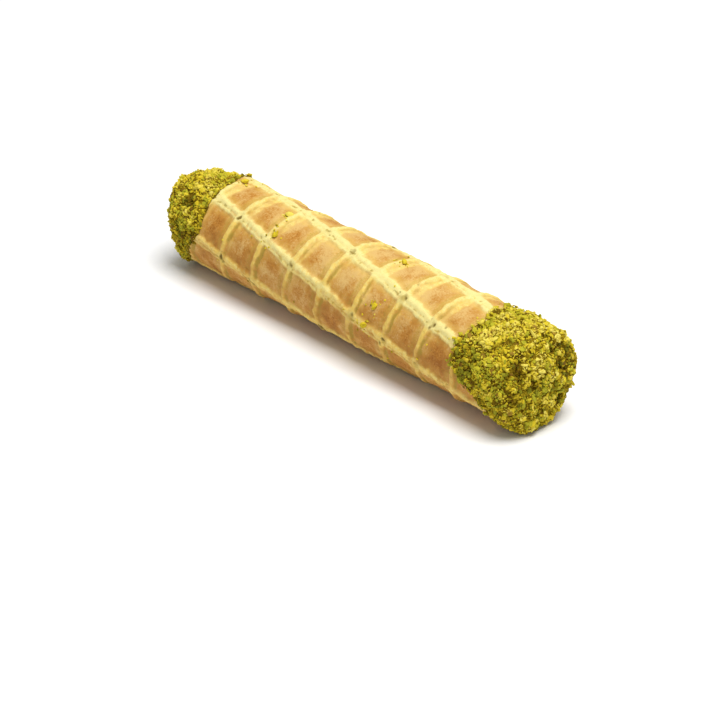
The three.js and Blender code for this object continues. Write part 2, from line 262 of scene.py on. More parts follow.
def roll_points(x, angle, radius):
    """Points of the roll: x along the axis, angle from the top towards +Y, distance from the axis"""
    x, angle, radius = np.broadcast_arrays(x, angle, radius)
    return np.stack([x, radius * np.sin(angle), AXIS_HEIGHT + radius * np.cos(angle)], -1)


def smoothstep(value, start, end):
    share = np.clip((value - start) / (end - start), 0, 1)
    return share * share * (3 - 2 * share)


def wrapped(angle):
    """An angle between minus and plus half a turn"""
    return np.mod(np.asarray(angle) + math.pi, TURN) - math.pi


def lumps(points, size, seed):
    """Smooth noise between about -1 and 1 at points in space, with lumps of the given size"""
    cells = 32
    table = np.random.default_rng(seed).uniform(-1, 1, (cells, cells, cells))
    place = np.asarray(points) / size
    cell = np.floor(place).astype(int)
    share = place - cell
    share = share * share * (3 - 2 * share)
    total = 0
    for corner in np.ndindex(2, 2, 2):
        weight = np.prod(np.where(corner, share, 1 - share), -1)
        i, j, k = np.moveaxis((cell + corner) % cells, -1, 0)
        total = total + weight * table[i, j, k]
    return total


def layers(points, *rows):
    """A sum of smooth noises, each row giving a height, the size of the lumps and a seed"""
    return sum(height * lumps(points, size, seed) for height, size, seed in rows)


def closeness(points, place, reach, core=0.0):
    """How near points are to a place: 1 within the given share of its reach, 0 beyond it"""
    return 1 - smoothstep(np.linalg.norm(points - place, axis=-1), core * reach, reach)


def strip(off, middle, half):
    """From 1 in the middle of a strip to 0 at its edges"""
    return np.clip(1 - ((off - middle) / half) ** 2, 0, 1)


def off_ribs(down, round_):
    """Distances of a place on the sheet from the nearest ribs that run round the roll and down it"""
    down, round_ = down - DOWN_SHIFT, round_ - ROUND_SHIFT
    off_round = down - DOWN_PITCH * np.round(down / DOWN_PITCH)
    return off_round, round_ - ROUND_PITCH * np.round(round_ / ROUND_PITCH)


def lattice(down, round_):
    """The rib lattice at a place on the sheet: its height, the paleness of the ribs that run round the
    roll and of those that run down it, and the grooves of both, each from 0 to 1"""
    places = off_ribs(down, round_)
    sections = list(zip(places, (ROUND_RIB, DOWN_RIB)))
    heights, pales = ([np.interp(off, rib[:, 0], rib[:, k]) for off, rib in sections] for k in (1, 2))
    grooves = [strip(off, *groove) for off, groove in zip(places, (ROUND_GROOVE, DOWN_GROOVE))]
    return 1 - (1 - heights[0]) * (1 - heights[1]), *pales, *grooves


def panel_radius(round_):
    """Distance of the panels from the axis: the sheet winds outwards over its one turn"""
    return ROLL_RADIUS + SHEET_STEP * (0.5 - (SHEET_END - round_) / SHEET_ROUND)


def sheet_top(sheet, x, angle):
    """Distance of the sheet's even outer side from the axis, at places along and round the roll"""
    across = ROLL_RADIUS * np.asarray(angle)
    down = x * TILT_COS - across * TILT_SIN
    round_ = x * TILT_SIN + across * TILT_COS
    round_ = SHEET_END - np.mod(SHEET_END - round_, SHEET_ROUND)
    return panel_radius(round_) + sheet.rib_height / MM * lattice(down, round_)[0]


def solid_reach(coat, angle):
    """How far a coat's solid comes along the roll from its end, on the side at this angle"""
    facing = np.cos(angle - COAT_FACING)
    share = smoothstep(facing, math.cos(COAT_LEAST), math.cos(COAT_FULL))
    wave = COAT_WAVE * np.sin(COAT_WAVES * angle + coat.seed)
    return coat.least + (coat.full - coat.least) * share + wave


def coat_reach(coat, angle):
    """How far a coat's nuts come along the roll from its end: the solid's reach with an uneven edge"""
    return solid_reach(coat, angle) + np.interp(np.degrees(wrapped(angle)), *np.transpose(coat.edge))


def coat_form(coat, angle):
    """Radius of a coat's side, length of its rounding, and lead of its end, on the side at this angle"""
    free = smoothstep(np.cos(angle), math.cos(REST_FULL), math.cos(REST_NONE))
    radius = REST_RADIUS + (coat.radius - REST_RADIUS) * free
    rounding = REST_ROUNDING + (coat.rounding - REST_ROUNDING) * free
    return radius, rounding, coat.lead * np.cos(2 * (angle - COAT_FACING))


def dome(turned):
    """Shares of a rounded end's radius and forward length, at turns of its rounding"""
    return (np.clip(share, 0, 1) ** (2 / COAT_BLUNT) for share in (np.sin(turned), np.cos(turned)))


def dome_way():
    """The way over a typical rounded end, at evenly spaced turns of the rounding"""
    turned = np.linspace(0, math.pi / 2, DOME_STEPS)
    share, forward = dome(turned)
    steps = np.hypot(DOME_RADIUS * np.diff(share), DOME_LENGTH * np.diff(forward))
    return turned, np.append(0, np.cumsum(steps))


DOME_TURNS, DOME_WAYS = dome_way()
DOME_WAY = DOME_WAYS[-1]


def coat_way(coat, angle):
    """Way from the middle of a coat's end over its rounding to its inner edge"""
    return DOME_WAY + coat_reach(coat, angle) - coat_form(coat, angle)[1]


def coat_surface(coat, angle, way):
    """Depth from the roll's end, distance from the axis, and turn of the outward direction"""
    radius, rounding, lead = coat_form(coat, angle)
    turned = np.interp(way, DOME_WAYS, DOME_TURNS)
    share, forward = dome(turned)
    depth = rounding * (1 - forward) + np.maximum(way - DOME_WAY, 0)
    depth = depth - lead * share**2 * (1 - depth / coat_reach(coat, angle))
    steep = COAT_BLUNT - 1
    return depth, radius * share, np.arctan2(share**steep / radius, forward**steep / rounding)


def coat_points(coat, angle, way, height=0.0):
    """Points of a coat at a height over its smooth form, and the outward directions there"""
    depth, radius, turn = coat_surface(coat, angle, way)
    x = coat.side * (HALF_LENGTH - depth + height * np.cos(turn))
    points = roll_points(x, angle, radius + height * np.sin(turn))
    across, up = np.sin(turn) * np.sin(angle), np.sin(turn) * np.cos(angle)
    return points, np.stack([coat.side * np.cos(turn) + 0 * angle, across, up], -1)


def coat_bands(coat, angle):
    """Depths, radii and areas of the bands of a coat's outline at this angle, as its solid has them"""
    radius, rounding, lead = coat_form(coat, angle)
    reach = solid_reach(coat, angle)
    share, forward = dome(np.linspace(0, math.pi / 2, ROUNDING_STEPS + 1)[1:])
    rows = int(round((coat.full - coat.rounding) / COAT_ROW))
    share = np.append(share, np.ones(rows))
    side = rounding + (reach - rounding) * np.arange(1, rows + 1) / rows
    depth = np.append(rounding * (1 - forward), side)
    depth = depth - lead * share**2 * (1 - depth / reach)
    depths, radii = np.append(depth[0], depth), np.append(0, radius * share)
    widths = np.hypot(np.diff(depths), np.diff(radii))
    return depths, radii, TURN * widths * (radii[1:] + radii[:-1]) / 2


def coat_clumps(coat):
    """Places, sizes and heights of the larger clumps on a coat, where its solid has its nut pieces"""
    state = 2 * coat.seed
    full_area = coat_bands(coat, COAT_FACING)[2].sum()
    clumps = []
    for i in range(coat.grains):
        draws = []
        for _ in range(GRAIN_DRAWS):
            state = (state * 1664525 + 1013904223) % 2**32
            draws.append(state / 2**32)
        size = np.interp(draws[0], (0, 1), GRAIN_SIZES)
        angle = i * GOLDEN_ANGLE
        depths, radii, areas = coat_bands(coat, angle)
        covered = np.append(0, np.cumsum(areas))
        area = full_area * (i + 0.5) / coat.grains
        depth = np.interp(area, covered, depths)
        if area > covered[-1] or depth > coat_reach(coat, angle) - EDGE_CLEAR * size - COAT_LIP:
            continue
        x = coat.side * (HALF_LENGTH - depth)
        place = roll_points(x, angle, np.interp(area, covered, radii))
        clumps.append((place, size, CLUMP_RISE * size))
    if coat.side > 0:
        depth, degrees, size = PROUD_CLUMP
        place = roll_points(HALF_LENGTH - depth, math.radians(degrees), coat.radius)
        clumps.append((place, size, PROUD_RISE * size))
    return map(np.array, zip(*clumps))


def coat_relief(coat, angle, way):
    """Relief of a coat's packed meal: its clumps, the hollows of its end, and its roughness"""
    smooth_form, out = coat_points(coat, angle, way)
    places, sizes, heights = coat_clumps(coat)
    flat = smooth_form.reshape(-1, 3)
    hollow = HOLLOW_DEPTH * smoothstep(lumps(flat, HOLLOW_SIZE, coat.hollow_seed), 0.2, 0.55)
    hollow = hollow * np.abs(out.reshape(-1, 3)[:, 0])
    gap = np.linalg.norm(flat[:, None] - places[None], axis=-1) / (CLUMP_SPREAD * sizes)
    bump = (heights * np.clip(1 - gap**2, 0, 1) ** 1.5).max(1)
    rough = layers(flat, (0.36, 2.2, coat.rough_seed), (0.14, 0.9, coat.seed + 1))
    return (rough + bump - hollow).reshape(smooth_form.shape[:-1])


def placed(name, data):
    """A new object in the scene"""
    thing = bpy.data.objects.new(name, data)
    bpy.context.scene.collection.objects.link(thing)
    return thing


def mesh_piece(name, points, faces, material, smooth=True, **marks):
    """A mesh object in the scene, from points in millimetres, with a number per point for each mark"""
    mesh = bpy.data.meshes.new(name)
    mesh.from_pydata((np.asarray(points) * MM).tolist(), [], [list(map(int, f)) for f in faces])
    mesh.polygons.foreach_set("use_smooth", np.full(len(mesh.polygons), smooth))
    for mark, values in marks.items():
        layer = mesh.attributes.new(mark, "FLOAT", "POINT")
        layer.data.foreach_set("value", np.asarray(values, np.float32).ravel())
    mesh.materials.append(material)
    if mesh.validate():
        raise RuntimeError(f"{name}: faulty faces")
    return placed(name, mesh)


def capped_tube(points, ends):
    """Points and faces of a tube of rings of points, capped by fans to two end points"""
    rows, columns = points.shape[:2]
    ring = np.arange(columns)
    turned = np.roll(ring, -1)
    row = columns * np.arange(rows - 1)[:, None]
    quads = np.stack([row + ring, row + turned, row + columns + turned, row + columns + ring], -1)
    faces = quads.reshape(-1, 4).tolist()
    first, last = rows * columns, (rows - 1) * columns
    for j, k in zip(ring, turned):
        faces += [[first, k, j], [first + 1, last + j, last + k]]
    return np.vstack([points.reshape(-1, 3), ends]), faces


def fill(tree, node, inputs):
    """Set a node's inputs, and link those that are sockets of other nodes"""
    for name, value in inputs.items():
        if isinstance(value, bpy.types.NodeSocket):
            tree.links.new(value, node.inputs[name])
        else:
            node.inputs[name].default_value = value


def add_node(tree, kind, inputs=None, **settings):
    """A node with its settings and inputs"""
    node = tree.nodes.new(kind)
    for name, value in settings.items():
        setattr(node, name, value)
    fill(tree, node, inputs or {})
    return node


def new_finish(name):
    """A material with its tree and shader"""
    material = bpy.data.materials.new(name)
    material.use_nodes = True
    return material, material.node_tree, material.node_tree.nodes["Principled BSDF"]


def mark_of(tree, name):
    return add_node(tree, "ShaderNodeAttribute", attribute_name=name).outputs["Fac"]


def noise_of(tree, place, per_mm, detail):
    inputs = {"Vector": place, "Scale": per_mm / MM, "Detail": detail, "Roughness": 0.6}
    return add_node(tree, "ShaderNodeTexNoise", inputs).outputs["Fac"]


def sum_of(tree, one, other, share):
    """one + other * share"""
    inputs = {0: other, 1: share, 2: one}
    return add_node(tree, "ShaderNodeMath", inputs, operation="MULTIPLY_ADD").outputs[0]


def ramp_of(tree, factor, *stops):
    """Colours by place along a ramp"""
    node = add_node(tree, "ShaderNodeValToRGB", {"Fac": factor})
    elements = node.color_ramp.elements
    for place, _ in stops[2:]:
        elements.new(place)
    for element, (place, colour_) in zip(elements, stops):
        element.position = place
        element.color = opaque(colour_)
    return node.outputs["Color"]


def mix_of(tree, factor, one, other):
    inputs = {0: factor, 6: one, 7: other}
    return add_node(tree, "ShaderNodeMix", inputs, data_type="RGBA").outputs[2]


def step_of(tree, value, start, end, low=0.0, high=1.0):
    """value carried from start..end to low..high and held there"""
    inputs = {"Value": value, "From Min": start, "From Max": end, "To Min": low, "To Max": high}
    return add_node(tree, "ShaderNodeMapRange", inputs).outputs["Result"]


def bump_of(tree, height, depth_mm):
    inputs = {"Height": height, "Distance": depth_mm * MM, "Strength": 1}
    return add_node(tree, "ShaderNodeBump", inputs).outputs["Normal"]


def opaque(colour_):
    return (*colour_, 1)


def wafer_finish(sheet):
    """Baked wafer: toasted panels, pale ribs with olive grooves, dark pores and spots, with painted light on
    the top and painted shade below and in the grooves
    """
    material, tree, shader = new_finish("baked_wafer")
    helpers = (step_of, mix_of, ramp_of, sum_of, noise_of)
    step, mix, ramp, add, noise = (partial(helper, tree) for helper in helpers)
    place = add_node(tree, "ShaderNodeTexCoord").outputs["Object"]
    rib, cream, groove, toast, pit = (mark_of(tree, mark) for mark in SHEET_MARKS)
    grain = noise(place, 2.4, 3)
    dots = noise(place, 4.5, 1)
    patch = step(noise(place, 0.9, 3), 0.25, 0.75, -1, 1)
    fleck = step(grain, 0.2, 0.8, -1, 1)
    # The toast mark carries the panels' own browning and painted shade: browner towards the underside
    browned = add(add(toast, fleck, 0.6), patch, 0.16)
    baking = step(browned, 0.1, 1.5)
    panel = ramp(baking, (0.0, sheet.panel), (0.57, sheet.toasted), (1.0, sheet.browned))
    # The cream mark carries painted light: creamier ribs on the top
    pale = add(add(cream, patch, 0.3), fleck, 0.36)
    crest = ramp(pale, (0.1, sheet.rib_gold), (0.9, sheet.rib))
    # The rib mark carries painted light and shade: paler ribs on the top, golder ones below
    worn = add(add(rib, fleck, 0.16), patch, 0.1)
    baked = mix(step(worn, 0.22, 0.78), panel, crest)
    dashes = add(groove, fleck, 0.2)
    # The groove mark carries painted shade in the grooves and behind the ribs, as well as dark spots
    grooved = mix(step(dashes, 0.12, 0.75, 0.0, 0.78), baked, opaque(sheet.groove))
    speck = step(dots, 0.64, 0.74, 0.0, 0.38)
    speckled = mix(speck, grooved, opaque(sheet.toasted))
    coloured = mix(step(pit, 0.15, 0.9), speckled, opaque(sheet.scorch))
    rough = step(grain, 0.2, 0.8, 0.58, 0.78)
    normal = bump_of(tree, add(grain, dots, 0.4), 0.1)
    inputs = {"Base Color": coloured, "Roughness": rough, "Normal": normal, "Specular IOR Level": 0.22}
    fill(tree, shader, inputs)
    return material


def nut_finish(name, stops, roughness):
    """Crushed nut: a tone for each bit, mottled inside it"""
    material, tree, shader = new_finish(name)
    place = add_node(tree, "ShaderNodeTexCoord").outputs["Object"]
    mottle = step_of(tree, noise_of(tree, place, 2.0, 3), 0.25, 0.75, -1, 1)
    tone = sum_of(tree, mark_of(tree, "tone"), mottle, 0.18)
    coloured = ramp_of(tree, tone, *stops)
    rough = step_of(tree, mottle, -1, 1, roughness - 0.1, roughness + 0.1)
    normal = bump_of(tree, noise_of(tree, place, 5.0, 2), 0.06)
    inputs = {"Base Color": coloured, "Roughness": rough, "Normal": normal, "Specular IOR Level": 0.05}
    fill(tree, shader, inputs)
    return material


def spots_on_grid(shape, middles, radii, spacing):
    """How deep each point of a grid lies in round spots, from 0 to 1"""
    depth = np.zeros(shape)
    places = middles / spacing
    for step in np.ndindex(2 * SPOT_CELLS + 1, 2 * SPOT_CELLS + 1):
        cell = np.round(places).astype(int) + step - SPOT_CELLS
        inside = ((cell >= 0) & (cell < shape)).all(1)
        gap = np.hypot(*((cell - places) * spacing).T) / radii
        value = np.clip(1 - gap**2, 0, 1)
        np.maximum.at(depth, tuple(cell[inside].T), value[inside])
    return depth


class WAFER_OT_sheet(bpy.types.Operator):
    """Build the rolled sheet with its ribs, pores, bubbles, spots and free edge"""

    bl_idname = "wafer_roll.sheet"
    bl_label = "Bake the sheet"

    LAP = 6  # columns of points that lie under the free edge
    CRACK = 0.03  # space under the free edge
    EDGE_ROWS = 3
    EDGE_FALL = (0.07, 0.22)  # how far the last two columns of points drop towards the free edge
    PORE_RADII = (0.2, 0.42)
    BUBBLE_RADII = (0.22, 0.55)
    BUBBLED = 0.55  # height of the ribs from which they have bubbles
    SPOT_DEPTH = 0.3
    SPOT_PLACE = (0.4, -0.2)  # from the middle of a crossing, down and round the sheet
    SPOT_REACH = 1.4
    SPOTTED = 0.65  # share of the crossings that have a dark spot
    UPPER = (0.25, 0.6)  # where parts of the roll begin and are full, in radians from its top
    SIDE = (0.3, 1.2)
    LOW = (0.8, 1.6)
    TOAST_SEEDS = (1396, 445, 922)  # of the larger, middling and smaller toasted patches
    STREAK = (0.5, 1.8, 1.0)  # width and length of the streaks in the panels, which run round the roll
    DIVE = (0.4, 1.2)  # how far inside a coat's inner edge the sheet begins and ends to draw in

    def execute(self, context):
        sheet = context.scene.wafer_sheet
        seed = sheet.seed
        rng = np.random.default_rng(seed)
        x, round_, spacing = self.grid(sheet)
        down = (x - round_ * TILT_SIN) / TILT_COS
        angle = (round_ - x * TILT_SIN) / (ROLL_RADIUS * TILT_COS)
        flat = np.stack(np.broadcast_arrays(down, round_, 0 * down), -1)
        places = (
            down + layers(flat, (0.34, 6, seed + 2), (0.27, 1.5, seed + 11)),
            round_ + layers(flat, (0.34, 6, seed + 3), (0.27, 1.5, seed + 12)),
        )
        rib, round_pale, down_pale, _, _ = lattice(*places)
        rib = rib * (0.9 + layers(flat, (0.15, 3.0, seed + 13), (0.18, 1.1, seed + 14)))
        lean = np.abs(wrapped(angle))
        upper, side, low = (smoothstep(lean, *part) for part in (self.UPPER, self.SIDE, self.LOW))

        pores = rng.uniform(0, 1, (sheet.pores, 2)) * np.array(rib.shape) * spacing
        pore = spots_on_grid(rib.shape, pores, rng.uniform(*self.PORE_RADII, sheet.pores), spacing)
        pore *= 1 - smoothstep(rib, 0.1, 0.5)
        found = np.argwhere(rib > self.BUBBLED)
        bubbles = found[rng.integers(0, len(found), sheet.bubbles)]
        bubbles = (bubbles + rng.uniform(-0.5, 0.5, bubbles.shape)) * spacing
        bubble = spots_on_grid(rib.shape, bubbles, rng.uniform(*self.BUBBLE_RADII, len(bubbles)), spacing)
        bubble *= np.clip(0.6 + 0.6 * lumps(flat, 0.6, seed + 10), 0, 1)
        spot, crossing = self.crossing_spots(*places, lumps(flat, 0.8, seed + 21) + 0.2 + 0.3 * upper)

        rough = layers(flat, (0.05, 0.7, seed + 4), (0.08, 2.5, seed + 5), (0.10, 8, seed + 6))
        up = sheet.rib_height / MM * rib + rough
        up -= sheet.pore_depth / MM * pore + sheet.bubble_depth / MM * bubble + self.SPOT_DEPTH * spot
        radius = panel_radius(round_) + up
        radius[:, -2:] -= self.EDGE_FALL
        for coat in COATS.values():
            inside = coat_reach(coat, angle) - (HALF_LENGTH - coat.side * x)
            radius = radius + (SPIGOT_RADIUS - radius) * smoothstep(inside, *self.DIVE)

        toast = self.toasting_and_painted_shade(flat, seed, lean, side) + 0.3 * pore
        pale, cream = self.paleness(flat, seed, places, round_pale, down_pale, side, low)
        groove = self.grooving(flat, seed, places, down_pale, upper * (1 - side), side, crossing)
        spotted = 0.5 + 0.7 * smoothstep(lean, 0.2, 0.7)
        pit = np.clip(0.22 * pore + 0.95 * bubble + spotted * spot, 0, 1)
        marks = zip(SHEET_MARKS, (pale, cream, groove, toast, pit))
        marks = {name: np.append(self.ring(mark).ravel(), [0, 0]) for name, mark in marks}

        wall = np.linspace(radius[:, -1], radius[:, self.LAP] + self.CRACK, self.EDGE_ROWS + 1)[1:].T
        points = roll_points(x, self.ring(angle), self.ring(radius, wall, self.CRACK))
        points, faces = capped_tube(points, [[end * WAFER_HALF, 0, AXIS_HEIGHT] for end in (-1, 1)])
        piece = mesh_piece("wafer_sheet", points, faces, wafer_finish(sheet), **marks)
        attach(piece, "root")
        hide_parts("wafer")
        return {"FINISHED"}

    def grid(self, sheet):
        """Places of the sheet's points along the roll and round it, and their spacing both ways"""
        step = sheet.mesh_step / MM
        rows = int(round(2 * WAFER_HALF / step)) + 1
        turn = int(round(SHEET_ROUND / step))
        spacing = np.array([2 * WAFER_HALF / (rows - 1), SHEET_ROUND / turn])
        x = np.linspace(-WAFER_HALF, WAFER_HALF, rows)[:, None]
        along = np.concatenate([x, 0 * x, 0 * x], 1)
        wander = layers(along, (0.5, 9, sheet.seed), (0.25, 2.2, sheet.seed + 1))
        from_edge = spacing[1] * np.arange(turn + self.LAP, -1, -1)
        return x, SHEET_END + wander[:, None] - from_edge[None, :], spacing

    def ring(self, values, wall=None, gap=0.0):
        """Values of the columns over the roll, down the wall of the free edge and back under it"""
        if wall is None:
            wall = np.repeat(values[:, -1:], self.EDGE_ROWS, 1)
        return np.concatenate([values, wall, values[:, self.LAP - 1 : 0 : -1] + gap], 1)

    def crossing_spots(self, down, round_, uneven):
        """Uneven dark spots at some of the crossings, and how near a place is to those, from 0 to 1"""
        row = np.round((down - DOWN_SHIFT) / DOWN_PITCH)
        column = np.round((round_ - ROUND_SHIFT) / ROUND_PITCH)
        along, across = (off - to for off, to in zip(off_ribs(down, round_), self.SPOT_PLACE))
        chance = np.mod(np.sin(row * 12.99 + column * 78.23) * 43758.5, 1)
        near = np.exp(-(along**2 + across**2) / self.SPOT_REACH**2)
        near = np.where(chance < self.SPOTTED, near, 0)
        return np.clip((2.1 - 1.6 * chance) * near * uneven - 0.35, 0, 1), near

    def toasting_and_painted_shade(self, flat, seed, lean, side):
        """How brown the panels are: patches and streaks, and painted shade that makes them browner towards
        the underside
        """
        large, middling, small = self.TOAST_SEEDS
        mottle = layers(flat, (0.34, 3.2, middling), (0.28, 1.5, small))
        toast = 0.36 + 0.2 * lumps(flat, 9, large) + (1 + 0.15 * side) * mottle
        toast = toast + 0.1 * lumps(flat / self.STREAK, 1, seed + 17)
        # Painted shade: the panels grow browner towards the underside, where less light falls
        return toast + 0.58 * smoothstep(lean, 0.1, 1.7)

    @staticmethod
    def paleness(flat, seed, places, round_pale, down_pale, side, low):
        """How far the ribs' paler colours cover the panels, and how creamy those are, with painted light and
        shade
        """
        worn = 1 + layers(flat, (0.35, 0.9, seed + 9), (0.15, 5, seed + 16))
        offs = off_ribs(*places)
        beside = smoothstep(offs[0], *ROUND_TOP[:2]) * (1 - smoothstep(offs[0], *ROUND_TOP[2:]))
        # Painted light: the strip between and beside the ridges is pale only on the top
        round_pale = np.maximum(round_pale, 0.62 * beside * (1 - side))
        # Painted shade: the ribs fade towards their golden colour on the underside
        faded = (1 - round_pale * (1 - 0.48 * low)) * (1 - down_pale * (1 - 0.22 * low))
        pale = np.clip((1 - faded) * worn, 0, 1)
        by_a_rib = 1 - smoothstep(np.abs(offs).min(0), *RIB_RIM)
        # Painted shade: the golden rims by the ribs are weaker on the sides and underside
        golden = by_a_rib * (0.42 - 0.18 * side - 0.12 * low)
        pale = np.maximum(pale, np.where(golden > 0, 0.22 + 0.56 * golden, 0))
        # Painted light: the ribs are creamier on the top, less so on the sides and underside
        return pale, down_pale * (1 - 0.7 * low) + (1 - down_pale) * round_pale * (0.6 - 0.5 * side)

    @staticmethod
    def grooving(flat, seed, places, down_pale, upper, side, crossing):
        """How dark the grooves, the strips behind the ribs and the spotted crossings are; the grooves are
        partly and the strips wholly painted shade
        """
        drift = lumps(flat, 2.8, seed + 19)
        *_, round_groove, down_groove = lattice(places[0] + 0.2 * drift, places[1] + 0.5 * drift)
        broken = lumps(flat, 1.4, seed + 15)
        # Painted shade: the grooves are darker on the sides than on the top
        shaded = (0.4 + 0.6 * side) * np.clip(0.75 + 0.9 * broken, 0, 1)
        dotted = smoothstep(lumps(flat, 0.9, seed + 20), 0.35, 0.65)
        # Painted shade behind the ridges of the ribs that run round the roll
        behind = strip(off_ribs(*places)[0], *ROUND_SHADE)
        between = np.maximum(round_groove * shaded, 0.36 * behind) * (1 - down_pale)
        darkened = crossing * smoothstep(broken + 0.5 * side + 0.4 * upper, -0.2, 0.5)
        return np.maximum.reduce([between, 0.8 * down_groove * dotted, (0.5 + 0.35 * upper) * darkened])


class WAFER_OT_coats(bpy.types.Operator):
    """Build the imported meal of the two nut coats, with their clumps"""

    bl_idname = "wafer_roll.coats"
    bl_label = "Press the nut coats"

    AROUND = 200  # points round a coat
    END_ROWS = 42
    SIDE_ROW = 0.4
    TAPER = 1.5  # how far from its inner edge a coat thins out
    EDGE_THICK = 0.3  # thickness of a thinned coat over the ribs
    EDGE_DROP = 0.3  # how far it drops at the very edge

    def execute(self, context):
        nuts = context.scene.wafer_nuts
        sheet = context.scene.wafer_sheet
        stops = ((0.2, nuts.ground), (0.8, nuts.ground_pale))
        finish = nut_finish("packed_nut_meal", stops, 0.8)
        angle = np.linspace(0, TURN, self.AROUND, endpoint=False)[None]
        socket = COAT_FACE - FIT_GAP
        for name, coat in COATS.items():
            edge = coat_way(coat, angle)
            side_rows = int((coat.full - coat.rounding) / self.SIDE_ROW)
            end = np.linspace(0, DOME_WAY, self.END_ROWS + 1)[1:, None] + 0 * angle
            side = DOME_WAY + np.linspace(0, 1, side_rows + 1)[1:, None] * (edge - DOME_WAY)
            way = np.vstack([end, side])
            height = seat_height(sheet, coat, angle, way)
            height = height - self.EDGE_DROP * smoothstep(way, edge - COAT_LIP, edge)
            points, _ = coat_points(coat, angle, way, height)
            inner = [
                roll_points(coat.side * (HALF_LENGTH - depth), angle, SPIGOT_RADIUS + FIT_GAP)
                for depth in (coat_reach(coat, angle), socket)
            ]
            points = np.concatenate([points, *inner], 0)
            points[..., 2] = np.maximum(points[..., 2], 0)
            ends = [[coat.side * x, 0, AXIS_HEIGHT] for x in (HALF_LENGTH, HALF_LENGTH - socket)]
            points, faces = capped_tube(points, ends)
            if coat.side < 0:
                faces = [face[::-1] for face in faces]
            relief = coat_relief(coat, angle, way)
            relief = np.append(relief, np.zeros(len(points) - relief.size))
            # Painted shade: the meal is darker in the hollows of its relief and lighter on its clumps
            tone = 0.4 + 0.3 * lumps(points, 1.8, coat.seed + 5) + 0.4 * relief
            piece = mesh_piece(f"nut_coat_{name}", points, faces, finish, tone=tone)
            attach(piece, "root")
            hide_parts(coat.node)
        return {"FINISHED"}


def chip_shapes(rng, fine):
    """Points of some crushed bits of about unit radius, cut flat on several sides, and their faces"""
    work = bmesh.new()
    bmesh.ops.create_icosphere(work, subdivisions=1 if fine else 2, radius=1)
    points = np.array([v.co for v in work.verts])
    faces = np.array([[v.index for v in f.verts] for f in work.faces])
    work.free()
    shapes = []
    for _ in range(CHIP_SHAPES):
        shape = points * rng.uniform(0.85, 1.1, (len(points), 1))
        for _ in range(CHIP_CUTS):
            out = rng.normal(size=3)
            out /= np.linalg.norm(out)
            over = np.maximum(shape @ out - rng.uniform(0.45, 0.8), 0)
            shape = shape - over[:, None] * out
        shapes.append(shape)
    return np.array(shapes), faces


def turns(rng, count):
    """Random turns as matrices"""
    spin = rng.normal(size=(count, 4))
    spin /= np.linalg.norm(spin, axis=1)[:, None]
    skew = np.cross(spin[:, None, 1:], np.eye(3)).transpose(0, 2, 1)
    return np.eye(3) + 2 * spin[:, :1, None] * skew + 2 * skew @ skew


def laid_flat(rng, out):
    """Turns that lay a bit with its thin way along the outward directions"""
    other = rng.normal(size=out.shape)
    one = np.cross(out, other)
    one /= np.linalg.norm(one, axis=1)[:, None]
    return np.stack([one, np.cross(out, one), out], -1)


def chips(name, rng, middles, outs, proudest, widths, stretch, turned, tones, material, fine=False):
    """One joined mesh of crushed bits at the given middles, pressed in where they stand up too far"""
    shapes, faces = chip_shapes(rng, fine)
    count = len(middles)
    scale = np.stack([rng.uniform(low, high, count) for low, high in stretch], -1)
    local = shapes[rng.integers(0, len(shapes), count)] * (scale * widths[:, None] / 2)[:, None]
    points = np.einsum("nij,nkj->nki", turned, local)
    over = np.einsum("nki,ni->nk", points, outs).max(1) - proudest
    points = points + (middles - np.maximum(over, 0)[:, None] * outs)[:, None]
    points[..., 2] = np.maximum(points[..., 2], 0)
    each = points.shape[1]
    every = (faces[None] + each * np.arange(count)[:, None, None]).reshape(-1, 3)
    tone = np.repeat(tones, each)
    return mesh_piece(name, points.reshape(-1, 3), every, material, smooth=False, tone=tone)


def greenness(coat, points):
    """How green the nuts are at points of a coat, from 0 to 1"""
    green = smoothstep(lumps(points, 6.0, coat.seed + 7), 0.15, 0.6)
    for place, reach, strength in GREENER:
        green = np.maximum(green, strength * closeness(points, place, reach, 0.4))
    return green


def strewn(rng, coat, count, green_share):
    """Random places on a coat, as angle and way, in the given shares where the nuts are yellow and green"""
    tries = STREWN_TRIES * count
    angle, way = rng.uniform(0, TURN, tries), rng.uniform(0, DOME_WAY + coat.full, tries)
    _, radius, _ = coat_surface(coat, angle, way)
    points, _ = coat_points(coat, angle, way)
    share = np.interp(greenness(coat, points), (0, 1), green_share)
    edge = coat_way(coat, angle) - COAT_LIP
    thick = 0.6 + 0.4 * smoothstep(way, edge, edge + 0.8)
    kept = rng.uniform(size=tries) < share * thick * radius / REST_RADIUS
    kept &= way < edge + rng.exponential(coat.loose, tries)
    found = np.flatnonzero(kept)[:count]
    if len(found) < count:
        raise RuntimeError("too few places for the nut bits")
    return angle[found], way[found]


def seat_height(sheet, coat, angle, way):
    """Height of the ground under a bit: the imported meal, or past its inner edge the sheet"""
    smooth_form, _ = coat_points(coat, angle, way)
    height = coat_relief(coat, angle, way) - coat.settle
    for place, reach, rise in FULLNESS:
        height = height + rise * closeness(smooth_form, place, reach)
    top = sheet_top(sheet, smooth_form[..., 0], angle)
    edge = coat_way(coat, angle)
    thin = smoothstep(way, edge - WAFER_OT_coats.TAPER, edge - COAT_LIP)
    cover = WAFER_OT_coats.EDGE_THICK * (1 - smoothstep(way, edge - COAT_LIP, edge + COAT_RUNOUT))
    return height + (top + cover - coat_surface(coat, angle, way)[1] - height) * thin


def kernel_stops(nuts):
    """Tones of the yellow-green bits"""
    return (0.0, nuts.kernel_dark), (0.5, nuts.kernel), (1.0, nuts.kernel_pale)


